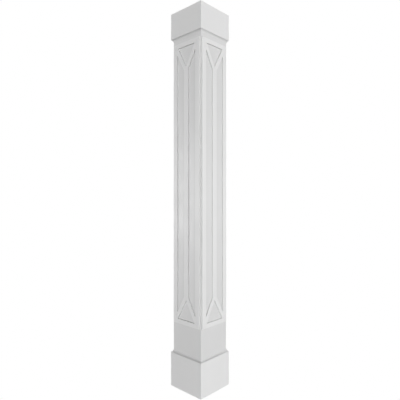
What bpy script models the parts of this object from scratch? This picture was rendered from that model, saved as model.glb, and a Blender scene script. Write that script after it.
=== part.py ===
"""Square porch column with a fretwork panel on each face.

Units are metres and +Z is up. The origin is at the centre of the column's underside.
The shaft is hollow from end to end, as the real one goes round a post. Collars of board
wrap its top and its foot, each with a small cove moulding, and a flat fretwork panel lies
on each of its four faces.
"""

import math

import bmesh
import bpy

# Whole column
COLUMN_HEIGHT = 3.048
SHAFT_WIDTH = 0.3048
SHAFT_WALL = 0.0159
CONTACT_GAP = 0.0003

# Collars and their cove mouldings
COLLAR_BOARD = 0.0159
CAPITAL_BLOCK_HEIGHT = 0.2075
BASE_BLOCK_HEIGHT = 0.2745
COVE_HEIGHT = 0.0220
COVE_PROJECTION = 0.0150
COVE_LIP = 0.0016
COVE_ARC = math.radians(52)
COVE_STEPS = 8

# Where the fretwork lies between the collars
PANEL_EDGE_MARGIN = 0.0095
PLAIN_BAND_ABOVE = 0.0340
PLAIN_BAND_BELOW = 0.2295

# Fretwork members
FRET_THICKNESS = 0.0095
STILE_WIDTH = 0.0413
MULLION_WIDTH = 0.0460
END_RAIL_WIDTH = 0.0360
SLANT_WIDTH = 0.0315
SLANT_ANGLE = math.radians(60.5)
TRIANGLE_CORNER_INSET = 0.0080

# Paint on cellular PVC board
PAINT_COLOUR = (0.80, 0.80, 0.795, 1.0)
PAINT_ROUGHNESS = 0.45

FULL_TURN = math.radians(360)
SIDES = 4
SIDE_NAMES = ("front", "right", "back", "left")
MERGE_DISTANCE = 0.0001

# Sizes that follow from the ones above
shaft_half = SHAFT_WIDTH / 2
collar_inner = shaft_half + CONTACT_GAP
collar_outer = collar_inner + COLLAR_BOARD
capital_block_foot = COLUMN_HEIGHT - CAPITAL_BLOCK_HEIGHT
capital_cove_top = capital_block_foot - CONTACT_GAP
capital_cove_foot = capital_cove_top - COVE_HEIGHT
base_cove_foot = BASE_BLOCK_HEIGHT + CONTACT_GAP
base_cove_top = base_cove_foot + COVE_HEIGHT
panel_top = capital_cove_foot - PLAIN_BAND_ABOVE
panel_foot = base_cove_top + PLAIN_BAND_BELOW


def clear_scene():
    """Remove every object that the scene opened with."""
    for old in list(bpy.data.objects):
        bpy.data.objects.remove(old, do_unlink=True)


def make_collection(name):
    """Return a new collection in the scene."""
    collection = bpy.data.collections.new(name)
    bpy.context.scene.collection.children.link(collection)
    return collection


def make_paint(name):
    """Return the satin white paint of one piece."""
    paint = bpy.data.materials.new(name)
    paint.use_nodes = True
    shader = paint.node_tree.nodes["Principled BSDF"]
    shader.inputs["Base Color"].default_value = PAINT_COLOUR
    shader.inputs["Roughness"].default_value = PAINT_ROUGHNESS
    shader.inputs["Metallic"].default_value = 0.0
    return paint


def place(piece, collection, parent):
    """Put a piece in the collection, under the column's axis, with its own paint."""
    collection.objects.link(piece)
    piece.parent = parent
    piece.data.materials.append(make_paint(f"{piece.name}_paint"))
    return piece


def mitred_ring(name, section, collection, parent):
    """Turn a closed section round the column in four steps, so that its corners are mitred.

    The section is a list of (distance from the axis to the face, height) points that runs
    down the outer side and up the inner one.
    """
    mesh = bpy.data.meshes.new(name)
    outline = bmesh.new()
    to_corner = FULL_TURN / SIDES / 2
    points = []
    for distance, height in section:
        reach = distance / math.cos(to_corner)
        points.append(outline.verts.new((reach * math.cos(to_corner), reach * math.sin(to_corner), height)))
    for first, second in zip(points, points[1:] + points[:1]):
        outline.edges.new((first, second))
    outline.to_mesh(mesh)
    outline.free()

    ring = place(bpy.data.objects.new(name, mesh), collection, parent)
    turn = ring.modifiers.new("turn in four steps", "SCREW")
    turn.axis = "Z"
    turn.angle = FULL_TURN
    turn.steps = SIDES
    turn.render_steps = SIDES
    turn.use_smooth_shade = False
    turn.use_merge_vertices = True
    turn.merge_threshold = MERGE_DISTANCE
    return ring


def board_section(inner, outer, foot, top):
    """Return the section of a board collar: a plain upright rectangle."""
    return [(outer, top), (outer, foot), (inner, foot), (inner, top)]


def cove_section(inner, projection, foot, top, widest_at_top):
    """Return the section of a cove: a thin flat lip at each edge and a hollow arc between them."""
    reach = projection - COVE_LIP
    rise = top - foot - 2 * COVE_LIP
    chord = math.hypot(reach, rise)
    radius = chord / 2 / math.sin(COVE_ARC / 2)
    hollow = []
    for step in range(COVE_STEPS + 1):
        swing = COVE_ARC * (step / COVE_STEPS - 1 / 2)
        along = 1 / 2 + radius * math.sin(swing) / chord
        sink = radius * (math.cos(swing) - math.cos(COVE_ARC / 2)) / chord
        out = COVE_LIP + reach * along - rise * sink
        up = COVE_LIP + rise * along + reach * sink
        hollow.append((out, up))
    outer_side = [(COVE_LIP, 0.0)] + hollow + [(projection, top - foot)]
    if widest_at_top:
        placed = [(inner + out, foot + up) for out, up in reversed(outer_side)]
        return placed + [(inner, foot), (inner, top)]
    placed = [(inner + out, top - up) for out, up in outer_side]
    return placed + [(inner, foot), (inner, top)]


def fretwork_openings(half_width, half_height):
    """Return the four openings of a panel as outlines about its centre."""
    field_half = half_width - STILE_WIDTH
    field_end = half_height - END_RAIL_WIDTH
    mullion_half = MULLION_WIDTH / 2
    base_half = field_half - TRIANGLE_CORNER_INSET
    point_depth = base_half * math.tan(SLANT_ANGLE)
    slant_shift = SLANT_WIDTH / math.sin(SLANT_ANGLE)
    slant_at_stile = (base_half + slant_shift - field_half) * math.tan(SLANT_ANGLE)
    slant_at_mullion = (base_half + slant_shift - mullion_half) * math.tan(SLANT_ANGLE)

    openings = []
    for end in (1, -1):
        base = end * field_end
        point = end * (field_end - point_depth)
        openings.append([(-base_half, base), (base_half, base), (0.0, point)])
    for side in (1, -1):
        at_stile = field_end - slant_at_stile
        at_mullion = field_end - slant_at_mullion
        openings.append([
            (side * mullion_half, at_mullion),
            (side * field_half, at_stile),
            (side * field_half, -at_stile),
            (side * mullion_half, -at_mullion),
        ])
    return openings


def fretwork_panel(name, turn, collection, parent):
    """Cut one fretwork panel from a flat board and lay it on the face at this turn."""
    half_width = shaft_half - PANEL_EDGE_MARGIN
    half_height = (panel_top - panel_foot) / 2
    board = [
        (-half_width, -half_height),
        (half_width, -half_height),
        (half_width, half_height),
        (-half_width, half_height),
    ]
    outline = bpy.data.curves.new(name, "CURVE")
    outline.dimensions = "2D"
    outline.fill_mode = "BOTH"
    outline.extrude = FRET_THICKNESS / 2
    for corners in [board] + fretwork_openings(half_width, half_height):
        spline = outline.splines.new("POLY")
        spline.points.add(len(corners) - 1)
        for point, (across, up) in zip(spline.points, corners):
            point.co = (across, up, 0.0, 1.0)
        spline.use_cyclic_u = True

    panel = place(bpy.data.objects.new(name, outline), collection, parent)
    out = shaft_half + CONTACT_GAP + FRET_THICKNESS / 2
    panel.location = (out * math.sin(turn), -out * math.cos(turn), (panel_top + panel_foot) / 2)
    panel.rotation_euler = (FULL_TURN / SIDES, 0.0, turn)
    return panel


def build_column():
    """Build the whole column."""
    clear_scene()
    collection = make_collection("fretwork_column")
    axis = bpy.data.objects.new("column_axis", None)
    collection.objects.link(axis)

    shaft_inner = shaft_half - SHAFT_WALL
    mitred_ring("shaft", board_section(shaft_inner, shaft_half, 0.0, COLUMN_HEIGHT), collection, axis)
    mitred_ring(
        "capital_block",
        board_section(collar_inner, collar_outer, capital_block_foot, COLUMN_HEIGHT),
        collection,
        axis,
    )
    mitred_ring(
        "capital_cove",
        cove_section(collar_inner, COVE_PROJECTION, capital_cove_foot, capital_cove_top, True),
        collection,
        axis,
    )
    mitred_ring(
        "base_block",
        board_section(collar_inner, collar_outer, 0.0, BASE_BLOCK_HEIGHT),
        collection,
        axis,
    )
    mitred_ring(
        "base_cove",
        cove_section(collar_inner, COVE_PROJECTION, base_cove_foot, base_cove_top, False),
        collection,
        axis,
    )
    for index, side in enumerate(SIDE_NAMES):
        turn = FULL_TURN / SIDES * index
        fretwork_panel(f"fretwork_panel_{side}", turn, collection, axis)


build_column()
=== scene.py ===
# %% [markdown]
# # A square porch column with fretwork faces
# The real column is built from flat boards of white-painted cellular PVC. Four mitred boards make
# a hollow square shaft, four more wrap its top and four its foot, and a cove moulding softens each
# step. A panel of fretwork, routed from one thin sheet, is glued to each of the four faces.
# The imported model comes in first, as a fixed frame that every finished piece is fitted to.

# %% Load the frame
import math

import bmesh
import bpy
import mathutils
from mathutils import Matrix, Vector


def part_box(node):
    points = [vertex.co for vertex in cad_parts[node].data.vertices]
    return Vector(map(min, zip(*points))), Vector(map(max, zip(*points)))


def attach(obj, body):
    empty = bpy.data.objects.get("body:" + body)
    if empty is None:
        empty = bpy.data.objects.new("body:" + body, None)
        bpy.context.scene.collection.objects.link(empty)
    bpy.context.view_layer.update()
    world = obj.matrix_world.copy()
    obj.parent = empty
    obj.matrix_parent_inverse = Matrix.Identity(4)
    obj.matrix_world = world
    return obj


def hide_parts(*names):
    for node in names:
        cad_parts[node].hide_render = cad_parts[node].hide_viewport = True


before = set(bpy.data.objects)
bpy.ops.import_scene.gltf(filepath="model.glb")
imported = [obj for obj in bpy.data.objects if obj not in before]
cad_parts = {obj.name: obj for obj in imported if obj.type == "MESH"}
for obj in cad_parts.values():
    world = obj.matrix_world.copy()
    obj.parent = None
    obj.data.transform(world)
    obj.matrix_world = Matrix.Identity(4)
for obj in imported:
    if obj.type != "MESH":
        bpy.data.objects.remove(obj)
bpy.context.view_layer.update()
scene = bpy.context.scene
BODY = "root"
FULL_TURN = math.tau
SIDES = 4
QUARTER_TURN = FULL_TURN / SIDES
MILLIMETRE = 0.001
LITRES_PER_CUBIC_METRE = 1000

shaft_low, shaft_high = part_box("shaft")
column_height = shaft_high.z - shaft_low.z
print(f"frame: {len(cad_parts)} nodes, a column {column_height:.3f} m high")

# %% [markdown]
# ## Camera
# The column is seen corner-on and level, from half its height and so near that its top and its
# foot show strong perspective. Azimuth, distance and lens come from the slopes of its own edges:
# a level camera keeps the upright edges upright, so only three numbers were left to find.

# %% Camera
PICTURE_SIDE = 400
SENSOR_WIDTH = 36.0
FOCAL_PIXELS = 381.0
CAMERA_AZIMUTH = math.radians(43.3)
CAMERA_DISTANCE = 3.144

camera_data = bpy.data.cameras.new("camera")
camera_data.sensor_width = SENSOR_WIDTH
camera_data.lens = SENSOR_WIDTH * FOCAL_PIXELS / PICTURE_SIDE
camera = bpy.data.objects.new("camera", camera_data)
camera.location = (
    math.sin(CAMERA_AZIMUTH) * CAMERA_DISTANCE,
    -math.cos(CAMERA_AZIMUTH) * CAMERA_DISTANCE,
    column_height / 2,
)
camera.rotation_euler = (QUARTER_TURN, 0.0, CAMERA_AZIMUTH)
scene.collection.objects.link(camera)
scene.camera = camera
print(f"camera: {camera_data.lens:.1f} mm lens, {CAMERA_DISTANCE} m from the axis")

# %% [markdown]
# ## One class for node maths
# Materials and geometry trees are both graphs of nodes. Wiring each Math node by hand hides the
# sum that it stands for, so a small class wraps a socket and lets Python's own operators add the
# nodes: `mask * 0.3 + 0.5` becomes two Math nodes. Each operator has its reflected form too, so
# that `1 - mask` works as well. Every other node comes from `make`, which takes its type, then its
# settings, then the values or links of its sockets.


# %% A socket that Python can reckon with
class Wire:
    """An output socket of a node tree, or the bare tree before its first socket."""

    def __init__(self, tree, socket=None):
        self.tree = tree
        self.socket = socket

    def make(self, kind, settings=None, sockets=None, out=0):
        """Add a node, apply its settings, fill its sockets and return a wire from one output."""
        node = self.tree.nodes.new(kind)
        for name, value in (settings or {}).items():
            setattr(node, name, value)
        for name, value in (sockets or {}).items():
            self.fill(self.socket_of(node.inputs, name), value)
        return Wire(self.tree, self.socket_of(node.outputs, out))

    def socket_of(self, sockets, name):
        """Find a socket by number, by identifier or by the name that it shows."""
        if isinstance(name, int):
            return sockets[name]
        for socket in sockets:
            if socket.identifier == name:
                return socket
        return sockets[name]

    def fill(self, socket, value):
        """Link a wire, or each wire of a list, or set a plain value."""
        if isinstance(value, list):
            for each in value:
                self.tree.links.new(each.socket, socket)
        elif isinstance(value, Wire):
            self.tree.links.new(value.socket, socket)
        else:
            socket.default_value = value

    def maths(self, operation, first, second=0.0):
        """Add one Math node."""
        return self.make("ShaderNodeMath", {"operation": operation}, {0: first, 1: second})

    def __add__(self, other):
        return self.maths("ADD", self, other)

    def __radd__(self, other):
        return self.maths("ADD", other, self)

    def __sub__(self, other):
        return self.maths("SUBTRACT", self, other)

    def __rsub__(self, other):
        return self.maths("SUBTRACT", other, self)

    def __mul__(self, other):
        return self.maths("MULTIPLY", self, other)

    def __rmul__(self, other):
        return self.maths("MULTIPLY", other, self)

    def __truediv__(self, other):
        return self.maths("DIVIDE", self, other)

    def __rtruediv__(self, other):
        return self.maths("DIVIDE", other, self)

    def __neg__(self):
        return self.maths("MULTIPLY", self, -1.0)


# %% [markdown]
# ## Paint on PVC board
# The boards are cellular PVC under two coats of satin white. Close up such paint isn't flat: the
# roller leaves a fine stipple, the board's own drag marks run along its length, and the film
# varies a little in tone and gloss from place to place. Each of these is a noise at its real
# scale, read from Object coordinates, which here are metres on the column. Stretching a noise
# along one axis turns specks into drag marks. The boards of the shaft and the panels stand, so
# their marks run up the column, and those of the collars and coves run round it.

# %% Paint
STIPPLE_PER_METRE = 420.0
STIPPLE_HEIGHT = 0.14
DRAG_PER_METRE = 380.0
DRAG_STRETCH = 0.03
DRAG_HEIGHT = 0.06
TONE_PER_METRE = 2.6
TONE_DETAIL = 3.0
TONE_DROP = 0.020
TONE_WARMTH = 0.002
FILM_PER_METRE = 9.0
DRAG_IN_TONE = 0.3
STIPPLE_IN_GLOSS = 0.2
NOISE_LOW = 0.3
NOISE_HIGH = 0.7
UPRIGHT = (1.0, 1.0, DRAG_STRETCH)
LEVEL = (DRAG_STRETCH, DRAG_STRETCH, 1.0)


def noise(tree, place, scale, detail=2.0, roughness=0.5):
    """Return a noise from 0 to 1 with this many cells to the metre."""
    return tree.make(
        "ShaderNodeTexNoise",
        {"noise_dimensions": "3D"},
        {"Vector": place, "Scale": scale, "Detail": detail, "Roughness": roughness},
    )


def spread(tree, value, low, high):
    """Stretch the middle of a noise, where nearly all of it lies, over low to high."""
    return tree.make(
        "ShaderNodeMapRange",
        {"clamp": True},
        {
            "Value": value,
            "From Min": NOISE_LOW,
            "From Max": NOISE_HIGH,
            "To Min": low,
            "To Max": high,
        },
    )


def board_paint(name, tone, gloss, shine, grain):
    """Make the paint of one kind of board: its lightest tone, roughness range, shine and grain."""
    light = (tone, tone, tone, 1.0)
    shade = tone - TONE_DROP
    dark = (shade, shade, shade - TONE_WARMTH, 1.0)
    paint = bpy.data.materials.new(name)
    paint.use_nodes = True
    paint.node_tree.nodes.clear()
    tree = Wire(paint.node_tree)
    place = tree.make("ShaderNodeTexCoord", out="Object")
    along = tree.make("ShaderNodeVectorMath", {"operation": "MULTIPLY"}, {0: place, 1: grain})

    cloud = noise(tree, place, TONE_PER_METRE, TONE_DETAIL)
    drag = noise(tree, along, DRAG_PER_METRE)
    stipple = noise(tree, place, STIPPLE_PER_METRE)
    mottle = cloud * (1.0 - DRAG_IN_TONE) + drag * DRAG_IN_TONE
    colour = tree.make(
        "ShaderNodeMix",
        {"data_type": "RGBA"},
        {
            "Factor_Float": spread(tree, mottle, 0.0, 1.0),
            "A_Color": dark,
            "B_Color": light,
        },
        out="Result_Color",
    )
    film = noise(tree, place, FILM_PER_METRE)
    polish = film * (1.0 - STIPPLE_IN_GLOSS) + stipple * STIPPLE_IN_GLOSS
    relief = tree.make(
        "ShaderNodeBump",
        {},
        {
            "Strength": 1.0,
            "Distance": MILLIMETRE,
            "Height": stipple * STIPPLE_HEIGHT + drag * DRAG_HEIGHT,
        },
        out="Normal",
    )
    surface = tree.make(
        "ShaderNodeBsdfPrincipled",
        {},
        {
            "Base Color": colour,
            "Roughness": spread(tree, polish, *gloss),
            "Metallic": 0.0,
            "Specular IOR Level": shine,
            "Normal": relief,
        },
    )
    output = paint.node_tree.nodes.new("ShaderNodeOutputMaterial")
    paint.node_tree.links.new(surface.socket, output.inputs["Surface"])
    return paint


# The coves' paint is set darker than the collars', though the real column has one white paint
# throughout: this is painted shade for the coves' hollows, which face up or down. The shaft's paint
# is set a little darker than the panels' and collars'.
PAINTS = {
    "shaft": {"tone": 0.755, "gloss": (0.36, 0.44), "shine": 0.5, "grain": UPRIGHT},
    "fretwork": {"tone": 0.84, "gloss": (0.38, 0.46), "shine": 0.4, "grain": UPRIGHT},
    "collar": {"tone": 0.83, "gloss": (0.38, 0.46), "shine": 0.2, "grain": LEVEL},
    "cove": {"tone": 0.775, "gloss": (0.38, 0.46), "shine": 0.2, "grain": LEVEL},
}
paints = {name: board_paint(f"{name}_paint", **values) for name, values in PAINTS.items()}
print("paint:", ", ".join(paints))

# %% [markdown]
# ## From a tree to a piece
# Each kind of piece is one Geometry Nodes tree whose sizes are named inputs. A helper object
# carries the tree as a modifier, its inputs are filled by identifier before it is first evaluated,
# and the result is copied out as a plain mesh. The helper then goes, and triangles that lie in one
# plane are joined, because long thin ones would show as faint streaks beside a rounded edge.

# %% Trees
SOCKETS = {"number": "NodeSocketFloat", "paint": "NodeSocketMaterial", "object": "NodeSocketObject"}
FLAT_ANGLE = math.radians(0.5)
MERGE_DISTANCE = MILLIMETRE / 100


def start_tree(name, numbers, others=()):
    """Start a geometry tree with named inputs and return it with a wire from each input."""
    group = bpy.data.node_groups.new(name, "GeometryNodeTree")
    for label in numbers:
        group.interface.new_socket(label, in_out="INPUT", socket_type=SOCKETS["number"])
    for label, kind in others:
        group.interface.new_socket(label, in_out="INPUT", socket_type=SOCKETS[kind])
    group.interface.new_socket("Geometry", in_out="OUTPUT", socket_type="NodeSocketGeometry")
    entry = group.nodes.new("NodeGroupInput")
    wires = {socket.name: Wire(group, socket) for socket in entry.outputs if socket.name}
    return Wire(group), wires


def end_tree(tree, shape, paint):
    """Close a tree: real geometry, its paint, and the group's output."""
    real = tree.make("GeometryNodeRealizeInstances", {}, {"Geometry": shape})
    painted = tree.make("GeometryNodeSetMaterial", {}, {"Geometry": real, "Material": paint})
    leave = tree.tree.nodes.new("NodeGroupOutput")
    tree.tree.links.new(painted.socket, leave.inputs["Geometry"])
    return tree.tree


def grow(group, name, inputs):
    """Run a tree with these inputs and return what it makes as a plain object."""
    helper = bpy.data.objects.new(f"{name}_helper", bpy.data.meshes.new(f"{name}_helper"))
    scene.collection.objects.link(helper)
    modifier = helper.modifiers.new("tree", "NODES")
    modifier.node_group = group
    for item in group.interface.items_tree:
        if item.in_out == "INPUT":
            modifier[item.identifier] = inputs[item.name]
    evaluated = helper.evaluated_get(bpy.context.evaluated_depsgraph_get())
    mesh = bpy.data.meshes.new_from_object(evaluated)
    bpy.data.objects.remove(helper, do_unlink=True)
    mesh.name = name
    joined = bmesh.new()
    joined.from_mesh(mesh)
    bmesh.ops.dissolve_limit(
        joined, angle_limit=FLAT_ANGLE, verts=joined.verts[:], edges=joined.edges[:]
    )
    bmesh.ops.recalc_face_normals(joined, faces=joined.faces[:])
    joined.to_mesh(mesh)
    joined.free()
    piece = bpy.data.objects.new(name, mesh)
    scene.collection.objects.link(piece)
    return piece


print("trees: inputs can be", ", ".join(SOCKETS))

# %% [markdown]
# ## Edges and fitting
# A sanded board has no sharp arris, and it is the thin light or dark line along each edge that
# makes a board look solid. A narrow Bevel eases every edge of a board or a cove. A routed panel is
# rounded on its front alone, as its back lies flat against the shaft: its front is set back by the
# radius and brought forward again in a few even insets, which follow a quarter of a circle. Each
# piece is then fitted to the node of the frame that it stands for.

# %% Edges and fitting
ARRIS_STEPS = 2
ARRIS_ANGLE = math.radians(40)
ROUND_STEPS = 3
FLAT_FACE_WEIGHT = 100


def ease(piece, width):
    """Round every arris of a piece by a narrow bevel."""
    piece.data.shade_smooth()
    arris = piece.modifiers.new("arris", "BEVEL")
    arris.width = width
    arris.segments = ARRIS_STEPS
    arris.limit_method = "ANGLE"
    arris.angle_limit = ARRIS_ANGLE
    arris.use_clamp_overlap = False
    arris.harden_normals = True
    return piece


def ease_front(piece, outwards, radius):
    """Round the edges of a piece's front alone, the side that faces outwards."""
    mesh = bmesh.new()
    mesh.from_mesh(piece.data)
    front = [face for face in mesh.faces if face.normal.angle(outwards) < ARRIS_ANGLE]
    for vertex in {vertex for face in front for vertex in face.verts}:
        vertex.co -= outwards * radius
    for step in range(ROUND_STEPS):
        here = QUARTER_TURN * step / ROUND_STEPS
        there = QUARTER_TURN * (step + 1) / ROUND_STEPS
        bmesh.ops.inset_region(
            mesh,
            faces=front,
            thickness=radius * (math.cos(here) - math.cos(there)),
            depth=radius * (math.sin(there) - math.sin(here)),
            use_even_offset=True,
        )
    mesh.to_mesh(piece.data)
    mesh.free()
    piece.data.shade_smooth()
    piece.data.set_sharp_from_angle(angle=ARRIS_ANGLE)
    shading = piece.modifiers.new("flat faces stay flat", "WEIGHTED_NORMAL")
    shading.weight = FLAT_FACE_WEIGHT
    shading.keep_sharp = True
    return piece


def fit(piece, node):
    """Let a piece stand for a node of the frame and ride with the column."""
    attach(piece, BODY)
    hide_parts(node)
    mesh = bmesh.new()
    mesh.from_mesh(piece.data)
    litres = mesh.calc_volume(signed=True) * LITRES_PER_CUBIC_METRE
    print(f"{piece.name}: {len(mesh.faces)} faces, {litres:.3f} litres")
    mesh.free()
    return piece


print(f"edges: rounded in {ARRIS_STEPS} steps on boards and {ROUND_STEPS} on panels")

# %% [markdown]
# ## Mitred boards
# The shaft and both collars are each four boards with their long edges cut at 45 degrees, glued
# corner to corner. One board is a flat trapezoid seen from above, drawn up to its height. A ring
# of four is the same board set at four quarter turns, so the tree makes one and instances it.
# A hair of clearance is left in each mitre, which shows as the fine line of such a joint on the
# column's top and down its corners.

# %% A tree for four mitred boards
tree, size = start_tree(
    "four mitred boards", ("Outer Half", "Board", "Foot", "Top", "Seam"), [("Paint", "paint")]
)
inner_half = size["Outer Half"] - size["Board"]
setback = size["Seam"] * math.sqrt(0.5)
outer_reach = size["Outer Half"] - setback
inner_reach = inner_half - setback


def flat_point(tree, across, out):
    """Return a point on the plan from two numbers or wires."""
    return tree.make("ShaderNodeCombineXYZ", {}, {"X": across, "Y": out})


# The board is longest on its outer side, and each end is cut back to leave the seam.
plan = tree.make(
    "GeometryNodeCurvePrimitiveQuadrilateral",
    {"mode": "POINTS"},
    {
        "Point 1": flat_point(tree, -outer_reach, -size["Outer Half"]),
        "Point 2": flat_point(tree, outer_reach, -size["Outer Half"]),
        "Point 3": flat_point(tree, inner_reach, -inner_half),
        "Point 4": flat_point(tree, -inner_reach, -inner_half),
    },
)


def solid_from(tree, outline, depth):
    """Fill an outline and give it thickness, upwards from where it lies."""
    face = tree.make("GeometryNodeFillCurve", {"mode": "TRIANGLES"}, {"Curve": outline})
    upwards = tree.make("ShaderNodeCombineXYZ", {}, {"Z": depth})
    drawn = tree.make(
        "GeometryNodeExtrudeMesh",
        {"mode": "FACES"},
        {"Mesh": face, "Offset": upwards, "Individual": False},
    )
    back = tree.make("GeometryNodeFlipFaces", {}, {"Mesh": face})
    both = tree.make("GeometryNodeJoinGeometry", {}, {"Geometry": [drawn, back]})
    return tree.make(
        "GeometryNodeMergeByDistance", {}, {"Geometry": both, "Distance": MERGE_DISTANCE}
    )


board = solid_from(tree, plan, size["Top"] - size["Foot"])
stand = tree.make("ShaderNodeCombineXYZ", {}, {"Z": size["Foot"]})
corners = tree.make("GeometryNodePoints", {}, {"Count": SIDES, "Position": stand})
turn = tree.make("GeometryNodeInputIndex") * QUARTER_TURN
ring = tree.make(
    "GeometryNodeInstanceOnPoints",
    {},
    {
        "Points": corners,
        "Instance": board,
        "Rotation": tree.make("ShaderNodeCombineXYZ", {}, {"Z": turn}),
    },
)
board_tree = end_tree(tree, ring, size["Paint"])
print(f"board tree: {len(board_tree.nodes)} nodes")

# %% Shaft and collars
MITRE_SEAM = 0.0002
BOARD_ARRIS = 0.0006


def board_ring(name, node, board, paint):
    """Make four mitred boards that fill a node of the frame."""
    low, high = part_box(node)
    sizes = {
        "Outer Half": high.x,
        "Board": board,
        "Foot": low.z,
        "Top": high.z,
        "Seam": MITRE_SEAM,
        "Paint": paint,
    }
    return fit(ease(grow(board_tree, name, sizes), BOARD_ARRIS), node)


SHAFT_BOARD = 0.0159
COLLAR_BOARD = 0.0159
board_ring("shaft_boards", "shaft", SHAFT_BOARD, paints["shaft"])
board_ring("capital_boards", "capital_block", COLLAR_BOARD, paints["collar"])
board_ring("base_boards", "base_block", COLLAR_BOARD, paints["collar"])

# %% [markdown]
# ## Cove mouldings
# A cove is a strip with a shallow hollow along it and a thin flat lip at each edge. It fills the
# step between collar and shaft, under the capital and on top of the base, and is mitred at the
# corners. Sweeping its section round a square path makes all four lengths at once. At a mitre the
# section is cut at 45 degrees, so it is stretched by the square root of two, outwards only, before
# it is swept.

# %% Cove section
COVE_LIP = 0.0016
COVE_ARC = math.radians(52)
COVE_STEPS = 16


def cove_outline(projection, rise):
    """Return a cove's section, from its foot on the shaft to its top, as (out, up) points."""
    run = projection - COVE_LIP
    climb = rise - 2 * COVE_LIP
    chord = math.hypot(run, climb)
    radius = chord / 2 / math.sin(COVE_ARC / 2)
    hollow = []
    for step in range(COVE_STEPS + 1):
        swing = COVE_ARC * (step / COVE_STEPS - 1 / 2)
        along = 1 / 2 + radius * math.sin(swing) / chord
        sink = radius * (math.cos(swing) - math.cos(COVE_ARC / 2)) / chord
        out = COVE_LIP + run * along - climb * sink
        up = COVE_LIP + climb * along + run * sink
        hollow.append((out, up))
    return [(0.0, 0.0), (COVE_LIP, 0.0)] + hollow + [(projection, rise), (0.0, rise)]


def section_object(name, points):
    """Draw a closed section as a curve object for a tree to sweep."""
    outline = bpy.data.curves.new(name, "CURVE")
    spline = outline.splines.new("POLY")
    spline.points.add(len(points) - 1)
    for point, (out, up) in zip(spline.points, points):
        point.co = (out, up, 0.0, 1.0)
    spline.use_cyclic_u = True
    drawing = bpy.data.objects.new(name, outline)
    scene.collection.objects.link(drawing)
    return drawing


print(f"cove section: a hollow in {COVE_STEPS} steps between two lips")

# %% A tree for a moulding round the column
tree, size = start_tree(
    "mitred moulding", ("Path Half", "Foot"), [("Section", "object"), ("Paint", "paint")]
)
path = tree.make(
    "GeometryNodeCurvePrimitiveQuadrilateral",
    {"mode": "RECTANGLE"},
    {"Width": size["Path Half"] * 2, "Height": size["Path Half"] * 2},
)
drawing = tree.make("GeometryNodeObjectInfo", {}, {"Object": size["Section"]}, out="Geometry")
mitre = tree.make(
    "GeometryNodeTransform", {}, {"Geometry": drawing, "Scale": (math.sqrt(2), -1.0, 1.0)}
)
swept = tree.make("GeometryNodeCurveToMesh", {}, {"Curve": path, "Profile Curve": mitre})
lifted = tree.make(
    "GeometryNodeTransform",
    {},
    {"Geometry": swept, "Translation": tree.make("ShaderNodeCombineXYZ", {}, {"Z": size["Foot"]})},
)
moulding_tree = end_tree(tree, lifted, size["Paint"])
print(f"moulding tree: {len(moulding_tree.nodes)} nodes")

# %% Both coves
COVE_ARRIS = 0.0003
CONTACT_GAP = 0.0003


def cove(name, node, widest_at_top):
    """Sweep one cove round the shaft, where the frame has it."""
    low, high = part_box(node)
    path_half = shaft_high.x + CONTACT_GAP
    rise = high.z - low.z
    points = cove_outline(high.x - path_half, rise)
    if not widest_at_top:
        points = [(out, rise - up) for out, up in points]
    drawing = section_object(f"{name}_section", points)
    sizes = {"Path Half": path_half, "Foot": low.z, "Section": drawing, "Paint": paints["cove"]}
    piece = grow(moulding_tree, name, sizes)
    bpy.data.objects.remove(drawing, do_unlink=True)
    return fit(ease(piece, COVE_ARRIS), node)


cove("capital_cove_strip", "capital_cove", True)
cove("base_cove_strip", "base_cove", False)

# %% [markdown]
# ## Fretwork
# Each panel is routed from one sheet. Stiles run up both edges, a mullion up the middle and a rail
# across each end, and two slanted bars at each end meet on the mullion and frame a triangle. All
# of it follows from a few widths and one angle, so the tree works out where the edges of the four
# openings cross and cuts them from the board. A triangle is drawn as a quadrilateral with one
# corner in the middle of its base. A router bit can't cut a sharp inside corner, so the openings'
# corners get the bit's small radius.

# %% A tree for a fretwork panel
FRET_NUMBERS = (
    "Half Width",
    "Half Height",
    "Thickness",
    "Stile",
    "Mullion",
    "Rail",
    "Slant Width",
    "Slant Angle",
    "Corner Inset",
    "Bit Radius",
    "Back",
    "Middle",
    "Turn",
)
tree, size = start_tree("fretwork panel", FRET_NUMBERS, [("Paint", "paint")])
slope = tree.maths("TANGENT", size["Slant Angle"])
field_half = size["Half Width"] - size["Stile"]
field_end = size["Half Height"] - size["Rail"]
mullion_half = size["Mullion"] / 2
base_half = field_half - size["Corner Inset"]
outer_base_half = base_half + size["Slant Width"] / tree.maths("SINE", size["Slant Angle"])
triangle_point = field_end - base_half * slope
at_stile = field_end - (outer_base_half - field_half) * slope
at_mullion = field_end - (outer_base_half - mullion_half) * slope


def opening(tree, *points):
    """Return the outline of one opening from its four points."""
    sockets = {f"Point {number}": point for number, point in enumerate(points, start=1)}
    return tree.make("GeometryNodeCurvePrimitiveQuadrilateral", {"mode": "POINTS"}, sockets)


holes = []
for end in (1.0, -1.0):
    base = field_end * end
    holes.append(
        opening(
            tree,
            flat_point(tree, -base_half, base),
            flat_point(tree, 0.0, base),
            flat_point(tree, base_half, base),
            flat_point(tree, 0.0, triangle_point * end),
        )
    )
for side in (1.0, -1.0):
    holes.append(
        opening(
            tree,
            flat_point(tree, mullion_half * side, at_mullion),
            flat_point(tree, field_half * side, at_stile),
            flat_point(tree, field_half * side, -at_stile),
            flat_point(tree, mullion_half * side, -at_mullion),
        )
    )
print(f"fretwork: {len(holes)} openings in each panel")

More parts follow.
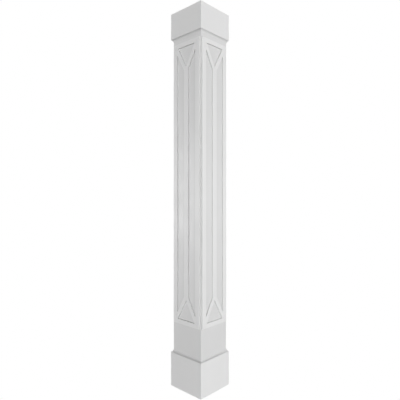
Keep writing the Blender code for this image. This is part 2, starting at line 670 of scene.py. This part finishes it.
# %% Cut, thicken and hang the panel
BIT_STEPS = 4
routed = tree.make(
    "GeometryNodeFilletCurve",
    {"mode": "POLY"},
    {
        "Curve": tree.make("GeometryNodeJoinGeometry", {}, {"Geometry": holes}),
        "Count": BIT_STEPS,
        "Radius": size["Bit Radius"],
        "Limit Radius": True,
    },
)
sheet = tree.make(
    "GeometryNodeCurvePrimitiveQuadrilateral",
    {"mode": "RECTANGLE"},
    {"Width": size["Half Width"] * 2, "Height": size["Half Height"] * 2},
)
outline = tree.make("GeometryNodeJoinGeometry", {}, {"Geometry": [sheet, routed]})
flat_panel = solid_from(tree, outline, size["Thickness"])
hung = tree.make(
    "GeometryNodeTransform",
    {},
    {
        "Geometry": flat_panel,
        "Rotation": (QUARTER_TURN, 0.0, 0.0),
        "Translation": tree.make(
            "ShaderNodeCombineXYZ", {}, {"Y": -size["Back"], "Z": size["Middle"]}
        ),
    },
)
turned = tree.make(
    "GeometryNodeTransform",
    {},
    {"Geometry": hung, "Rotation": tree.make("ShaderNodeCombineXYZ", {}, {"Z": size["Turn"]})},
)
fret_tree = end_tree(tree, turned, size["Paint"])
print(f"fretwork tree: {len(fret_tree.nodes)} nodes")

# %% Four panels
STILE_WIDTH = 0.0413
MULLION_WIDTH = 0.0460
END_RAIL_WIDTH = 0.0360
SLANT_WIDTH = 0.0315
SLANT_ANGLE = math.radians(60.5)
TRIANGLE_CORNER_INSET = 0.0080
BIT_RADIUS = 0.0016
FRET_ROUND = 0.0012
SIDE_NAMES = ("front", "right", "back", "left")

front_low, front_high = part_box("fretwork_panel_front")
fret_sizes = {
    "Half Width": front_high.x,
    "Half Height": (front_high.z - front_low.z) / 2,
    "Thickness": front_high.y - front_low.y,
    "Stile": STILE_WIDTH,
    "Mullion": MULLION_WIDTH,
    "Rail": END_RAIL_WIDTH,
    "Slant Width": SLANT_WIDTH,
    "Slant Angle": SLANT_ANGLE,
    "Corner Inset": TRIANGLE_CORNER_INSET,
    "Bit Radius": BIT_RADIUS,
    "Back": -front_high.y,
    "Middle": (front_high.z + front_low.z) / 2,
    "Paint": paints["fretwork"],
}
for index, side in enumerate(SIDE_NAMES):
    turn = QUARTER_TURN * index
    outwards = mathutils.Vector((math.sin(turn), -math.cos(turn), 0.0))
    sheet = grow(fret_tree, f"fretwork_{side}", dict(fret_sizes, Turn=turn))
    panel = ease_front(sheet, outwards, FRET_ROUND)
    fit(panel, f"fretwork_panel_{side}")

# %% [markdown]
# ## Floor and light
# The column stands on a plain white floor in a white room. Its light is soft and nearly level, so
# what faces up or down, such as the hollows of the coves and the ends of the triangles, reads as a
# thin dark line. Three broad lamps in front light the left-hand face. A stronger one stands to the
# right and a little behind it: the right-hand face is the lighter of the two, and nothing shines
# straight into the recesses of the left-hand one. Two more light the back, one of them high up, so
# that the column's top is light too, and a faint one shines up from below, as light off a floor
# does. The faint glow at mid-height is a reflection, so lamps that only gloss can see stand where
# each face mirrors the camera. Each is a sun lamp with a wide angle, whose light is soft and as
# strong at the foot as at the top, which suits so tall a thing.

# %% Floor
FLOOR_SIDE = 60.0
FLOOR_GLOW = 1.0
FLOOR_ROUGHNESS = 0.9
BLACK = (0.0, 0.0, 0.0, 1.0)
WHITE = (1.0, 1.0, 1.0, 1.0)

floor_mesh = bpy.data.meshes.new("floor")
grid = bmesh.new()
bmesh.ops.create_grid(grid, x_segments=1, y_segments=1, size=FLOOR_SIDE / 2)
grid.to_mesh(floor_mesh)
grid.free()
floor = bpy.data.objects.new("floor", floor_mesh)
scene.collection.objects.link(floor)
floor_paint = bpy.data.materials.new("floor_white")
floor_paint.use_nodes = True
floor_shader = floor_paint.node_tree.nodes["Principled BSDF"]
floor_shader.inputs["Base Color"].default_value = BLACK
floor_shader.inputs["Specular IOR Level"].default_value = 0.0
floor_shader.inputs["Roughness"].default_value = FLOOR_ROUGHNESS
floor_shader.inputs["Emission Color"].default_value = WHITE
floor_shader.inputs["Emission Strength"].default_value = FLOOR_GLOW
floor_mesh.materials.append(floor_paint)
floor.visible_diffuse = False
floor.visible_glossy = False
floor.visible_shadow = False
print(f"floor: {FLOOR_SIDE:.0f} m square")

# %% White room
FILL = 0.05
ROOM_WHITE = 1.0

world = bpy.data.worlds.new("white room")
scene.world = world
world.use_nodes = True
world.node_tree.nodes.clear()
room = Wire(world.node_tree)
seen = room.make("ShaderNodeLightPath", out="Is Camera Ray")
glow = room.make(
    "ShaderNodeBackground", {}, {"Color": WHITE, "Strength": seen * (ROOM_WHITE - FILL) + FILL}
)
room_output = world.node_tree.nodes.new("ShaderNodeOutputWorld")
world.node_tree.links.new(glow.socket, room_output.inputs["Surface"])
print(f"room: white, with a fill of {FILL}")

# %% Lamps
# Degrees. An azimuth of 0 shines from the front and one of 90 from the right.
LAMPS = {
    "front_lamp_left": {"azimuth": -2, "strength": 0.79, "width": 34},
    "front_lamp": {"azimuth": 30, "strength": 1.01, "width": 34},
    "front_lamp_right": {"azimuth": 62, "strength": 0.45, "width": 34},
    "right_lamp": {"azimuth": 115, "strength": 1.96, "width": 36},
    "back_lamp": {"azimuth": 235, "strength": 1.8, "width": 60},
    "high_back_lamp": {"azimuth": 223, "elevation": 60, "strength": 1.6, "width": 30},
    "floor_bounce": {"elevation": -90, "strength": 0.1, "width": 120},
}
GLEAMS = {
    "left_window": {"azimuth": -43, "strength": 0.9, "width": 70},
    "left_gleam": {"azimuth": -43, "strength": 0.85, "width": 12},
    "right_gleam": {"azimuth": 137, "strength": 0.25, "width": 12},
}


def sun_lamp(name, strength, width, azimuth=0, elevation=0):
    """Add a wide distant lamp that shines from this azimuth, counted like the camera's."""
    lamp = bpy.data.lights.new(name, "SUN")
    lamp.energy = strength
    lamp.angle = math.radians(width)
    light = bpy.data.objects.new(name, lamp)
    light.rotation_euler = (QUARTER_TURN - math.radians(elevation), 0.0, math.radians(azimuth))
    scene.collection.objects.link(light)
    return light


for name, values in LAMPS.items():
    sun_lamp(name, **values).visible_glossy = False
for name, values in GLEAMS.items():
    sun_lamp(name, **values).visible_diffuse = False
scene.view_settings.view_transform = "Standard"
print(f"lamps: {len(LAMPS)} for light and {len(GLEAMS)} for gleams")
